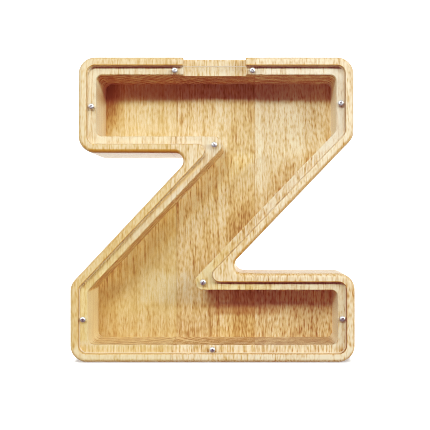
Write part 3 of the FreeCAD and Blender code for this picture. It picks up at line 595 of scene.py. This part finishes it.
def floor():
    bm = bmesh.new()
    rings, segments = (0.0, 0.3, 1.0, 4.0, 12.0), 64
    centre = bm.verts.new((0, 0, 0))
    last = None
    for r in rings[1:]:
        ring = [bm.verts.new((r * math.cos(2 * math.pi * i / segments), r * math.sin(2 * math.pi * i / segments), 0)) for i in range(segments)]
        for i in range(segments):
            j = (i + 1) % segments
            if last is None:
                bm.faces.new((centre, ring[i], ring[j]))
            else:
                bm.faces.new((last[i], ring[i], ring[j], last[j]))
        last = ring
    mesh = bpy.data.meshes.new("floor")
    bm.to_mesh(mesh)
    bm.free()
    obj = bpy.data.objects.new("floor", mesh)
    scene.collection.objects.link(obj)
    obj.location.z = -0.0001
    t = Tree("pale_floor")
    place = t.add("ShaderNodeTexCoord").outputs["Object"]
    s = t.add("ShaderNodeBsdfPrincipled")
    mottled = t.noise(place, 9.0, 3.0, 0.5).outputs["Fac"]
    t.put(s.inputs["Base Color"], t.mix(mottled, (0.90, 0.90, 0.90), (0.93, 0.93, 0.93)))
    s.inputs["Roughness"].default_value = 0.9
    s.inputs["Specular IOR Level"].default_value = 0.0
    glow = t.add("ShaderNodeEmission")
    glow.inputs["Color"].default_value = (1, 1, 1, 1)
    # the floor darkens only where the box all but touches it
    touch = t.add("ShaderNodeAmbientOcclusion")
    touch.samples = 16
    touch.inputs["Distance"].default_value = 0.006
    shade = t.span(touch.outputs["AO"], 0.40, 0.95, 0.12, 1.3)
    t.put(glow.inputs["Strength"], t.math("MULTIPLY", t.add("ShaderNodeLightPath").outputs["Is Camera Ray"], shade))
    both = t.add("ShaderNodeAddShader")
    t.put(both.inputs[0], s.outputs[0])
    t.put(both.inputs[1], glow.outputs[0])
    mesh.materials.append(t.out(both.outputs[0]))
    obj.visible_diffuse = False
    obj.visible_glossy = False
    obj.visible_transmission = False


floor()

world = bpy.data.worlds.new("studio")
scene.world = world
world.use_nodes = True
wt = world.node_tree
wt.nodes.clear()


def from_to(value, lo, hi, to_lo, to_hi):
    n = wt.nodes.new("ShaderNodeMapRange")
    n.interpolation_type = "SMOOTHSTEP"
    wt.links.new(value, n.inputs["Value"])
    for name, v in (("From Min", lo), ("From Max", hi), ("To Min", to_lo), ("To Max", to_hi)):
        n.inputs[name].default_value = v
    return n.outputs["Result"]


def combine(op, a, b):
    n = wt.nodes.new("ShaderNodeMath")
    n.operation = op
    for i, v in enumerate((a, b)):
        if isinstance(v, bpy.types.NodeSocket):
            wt.links.new(v, n.inputs[i])
        else:
            n.inputs[i].default_value = v
    return n.outputs[0]


FRONT, HIGH, LOW, BEHIND, SIDE = 0.05, 0.40, 0.45, 1.0, 0.45
G_FRONT, G_HIGH, G_LOW = 0.12, 2.2, 3.2
WHITE = 1.5
coord = wt.nodes.new("ShaderNodeTexCoord")
split = wt.nodes.new("ShaderNodeSeparateXYZ")
wt.links.new(coord.outputs["Generated"], split.inputs[0])
toward, up = split.outputs["Y"], split.outputs["Z"]
# on matt surfaces: dark in front, light around the sides, softer again behind
ring = from_to(toward, 0.02, 0.35, 0.0, 1.0)
behind = from_to(toward, 0.5, 0.8, 0.0, 1.0)
matt = combine("MULTIPLY", from_to(up, -0.45, 0.15, LOW, HIGH), combine("SUBTRACT", ring, behind))
matt = combine("ADD", matt, combine("MULTIPLY", behind, BEHIND))
matt = combine("ADD", matt, from_to(toward, 0.02, 0.35, FRONT, 0.0))
aside = combine("MULTIPLY", from_to(combine("ABSOLUTE", split.outputs["X"], 0.0), 0.75, 0.95, 0.0, SIDE), from_to(toward, 0.3, 0.0, 0.0, 1.0))
matt = combine("ADD", matt, aside)
# in reflections: the same dark room in front, a bright table behind and a paler wall above it
shine = combine("MULTIPLY", ring, from_to(up, -0.04, 0.04, G_LOW, G_HIGH))
shine = combine("ADD", shine, from_to(toward, 0.02, 0.35, G_FRONT, 0.0))


def choose(test, no, yes):
    n = wt.nodes.new("ShaderNodeMix")
    n.data_type = "FLOAT"
    wt.links.new(test, n.inputs[0])
    for socket, v in ((n.inputs[2], no), (n.inputs[3], yes)):
        if isinstance(v, bpy.types.NodeSocket):
            wt.links.new(v, socket)
        else:
            socket.default_value = v
    return n.outputs[0]


path = wt.nodes.new("ShaderNodeLightPath")
sky = choose(path.outputs["Is Glossy Ray"], matt, shine)
sky = choose(path.outputs["Is Camera Ray"], sky, WHITE)
back = wt.nodes.new("ShaderNodeBackground")
back.inputs["Color"].default_value = (1, 1, 1, 1)
wt.links.new(sky, back.inputs["Strength"])
last = wt.nodes.new("ShaderNodeOutputWorld")
wt.links.new(back.outputs[0], last.inputs["Surface"])
world.cycles.sampling_method = "NONE"


def softbox(name, at, aim, width, height, watts, colour=(1, 1, 1)):
    data = bpy.data.lights.new(name, "AREA")
    data.shape = "RECTANGLE"
    data.size, data.size_y = width, height
    data.energy = watts
    data.color = colour
    obj = bpy.data.objects.new(name, data)
    scene.collection.objects.link(obj)
    obj.location = at
    obj.rotation_euler = (Vector(aim) - Vector(at)).to_track_quat("-Z", "Y").to_euler()
    obj.visible_camera = False
    obj.visible_transmission = False  # the sheet lets lamplight straight through, so it isn't counted twice
    return obj


EDGE = (0.0, -0.02, 0.2055)  # lower front edge of the cavity's top wall, which casts the main shadow


def lamp(name, watts, screen, left, right, low, high):
    """A soft box that stands screen metres in front, seen from the edge between these slopes: left and right in X, low and high in Z, per metre of Y."""
    reach = EDGE[1] + screen
    at = (EDGE[0] + reach * (left + right) / 2, -screen, EDGE[2] + reach * (low + high) / 2)
    turn = math.cos(math.atan((left + right) / 2))
    softbox(name, at, (0.0, 0.0, 0.11), reach * (right - left) * turn, reach * (high - low), watts)


lamp("key", 59.0, 3.5, -0.40, -0.05, 0.32, 0.44)
lamp("key_wide", 9.0, 3.5, -0.80, -0.40, 0.32, 0.44)
lamp("wing_right", 49.0, 3.0, 0.35, 1.0, 0.32, 0.44)
lamp("far_left", 17.0, 1.4, -2.6, -1.2, 0.31, 0.50)
lamp("far_right", 29.0, 1.4, 1.2, 2.6, 0.31, 0.50)
lamp("top", 5.0, 3.5, -0.25, 0.25, 0.42, 0.65)
lamp("over", 22.0, 3.0, -0.3, 0.3, 0.65, 1.10)

camera_data = bpy.data.cameras.new("camera")
camera = bpy.data.objects.new("camera", camera_data)
scene.collection.objects.link(camera)
scene.camera = camera
camera.location = (0.0281, -0.565, 0.1008)
camera.rotation_euler = (math.radians(90), 0.0, 0.0)
camera_data.sensor_width = 36.0
camera_data.lens = 62.9
camera_data.shift_x = -0.0849
camera_data.shift_y = 0.0174
camera_data.clip_start = 0.01
camera_data.clip_end = 60.0

scene.view_settings.view_transform = "Standard"
scene.view_settings.look = "None"
# a warm print: shadows on the wood go red-brown, whites stay white
scene.view_settings.use_curve_mapping = True
grade = scene.view_settings.curve_mapping
grade.extend = "EXTRAPOLATED"
for channel, points in (
    (0, ((0.0, 0.0), (0.04, 0.05), (0.1, 0.118), (0.2, 0.215), (0.4, 0.40), (0.7, 0.695), (1.0, 0.94))),
    (1, ((0.0, 0.0), (0.04, 0.0175), (0.1, 0.050), (0.2, 0.148), (0.36, 0.335), (0.56, 0.555), (1.0, 0.97))),
    (2, ((0.0, 0.0), (0.04, 0.027), (0.1, 0.072), (0.2, 0.175), (0.36, 0.370), (0.56, 0.580), (1.0, 1.0))),
):
    curve = grade.curves[channel]
    while len(curve.points) < len(points):
        curve.points.new(0.5, 0.5)
    for spot, place in zip(curve.points, points):
        spot.location = place
        spot.handle_type = "AUTO_CLAMPED"
grade.update()
scene.cycles.use_denoising = True
scene.cycles.filter_width = 1.0
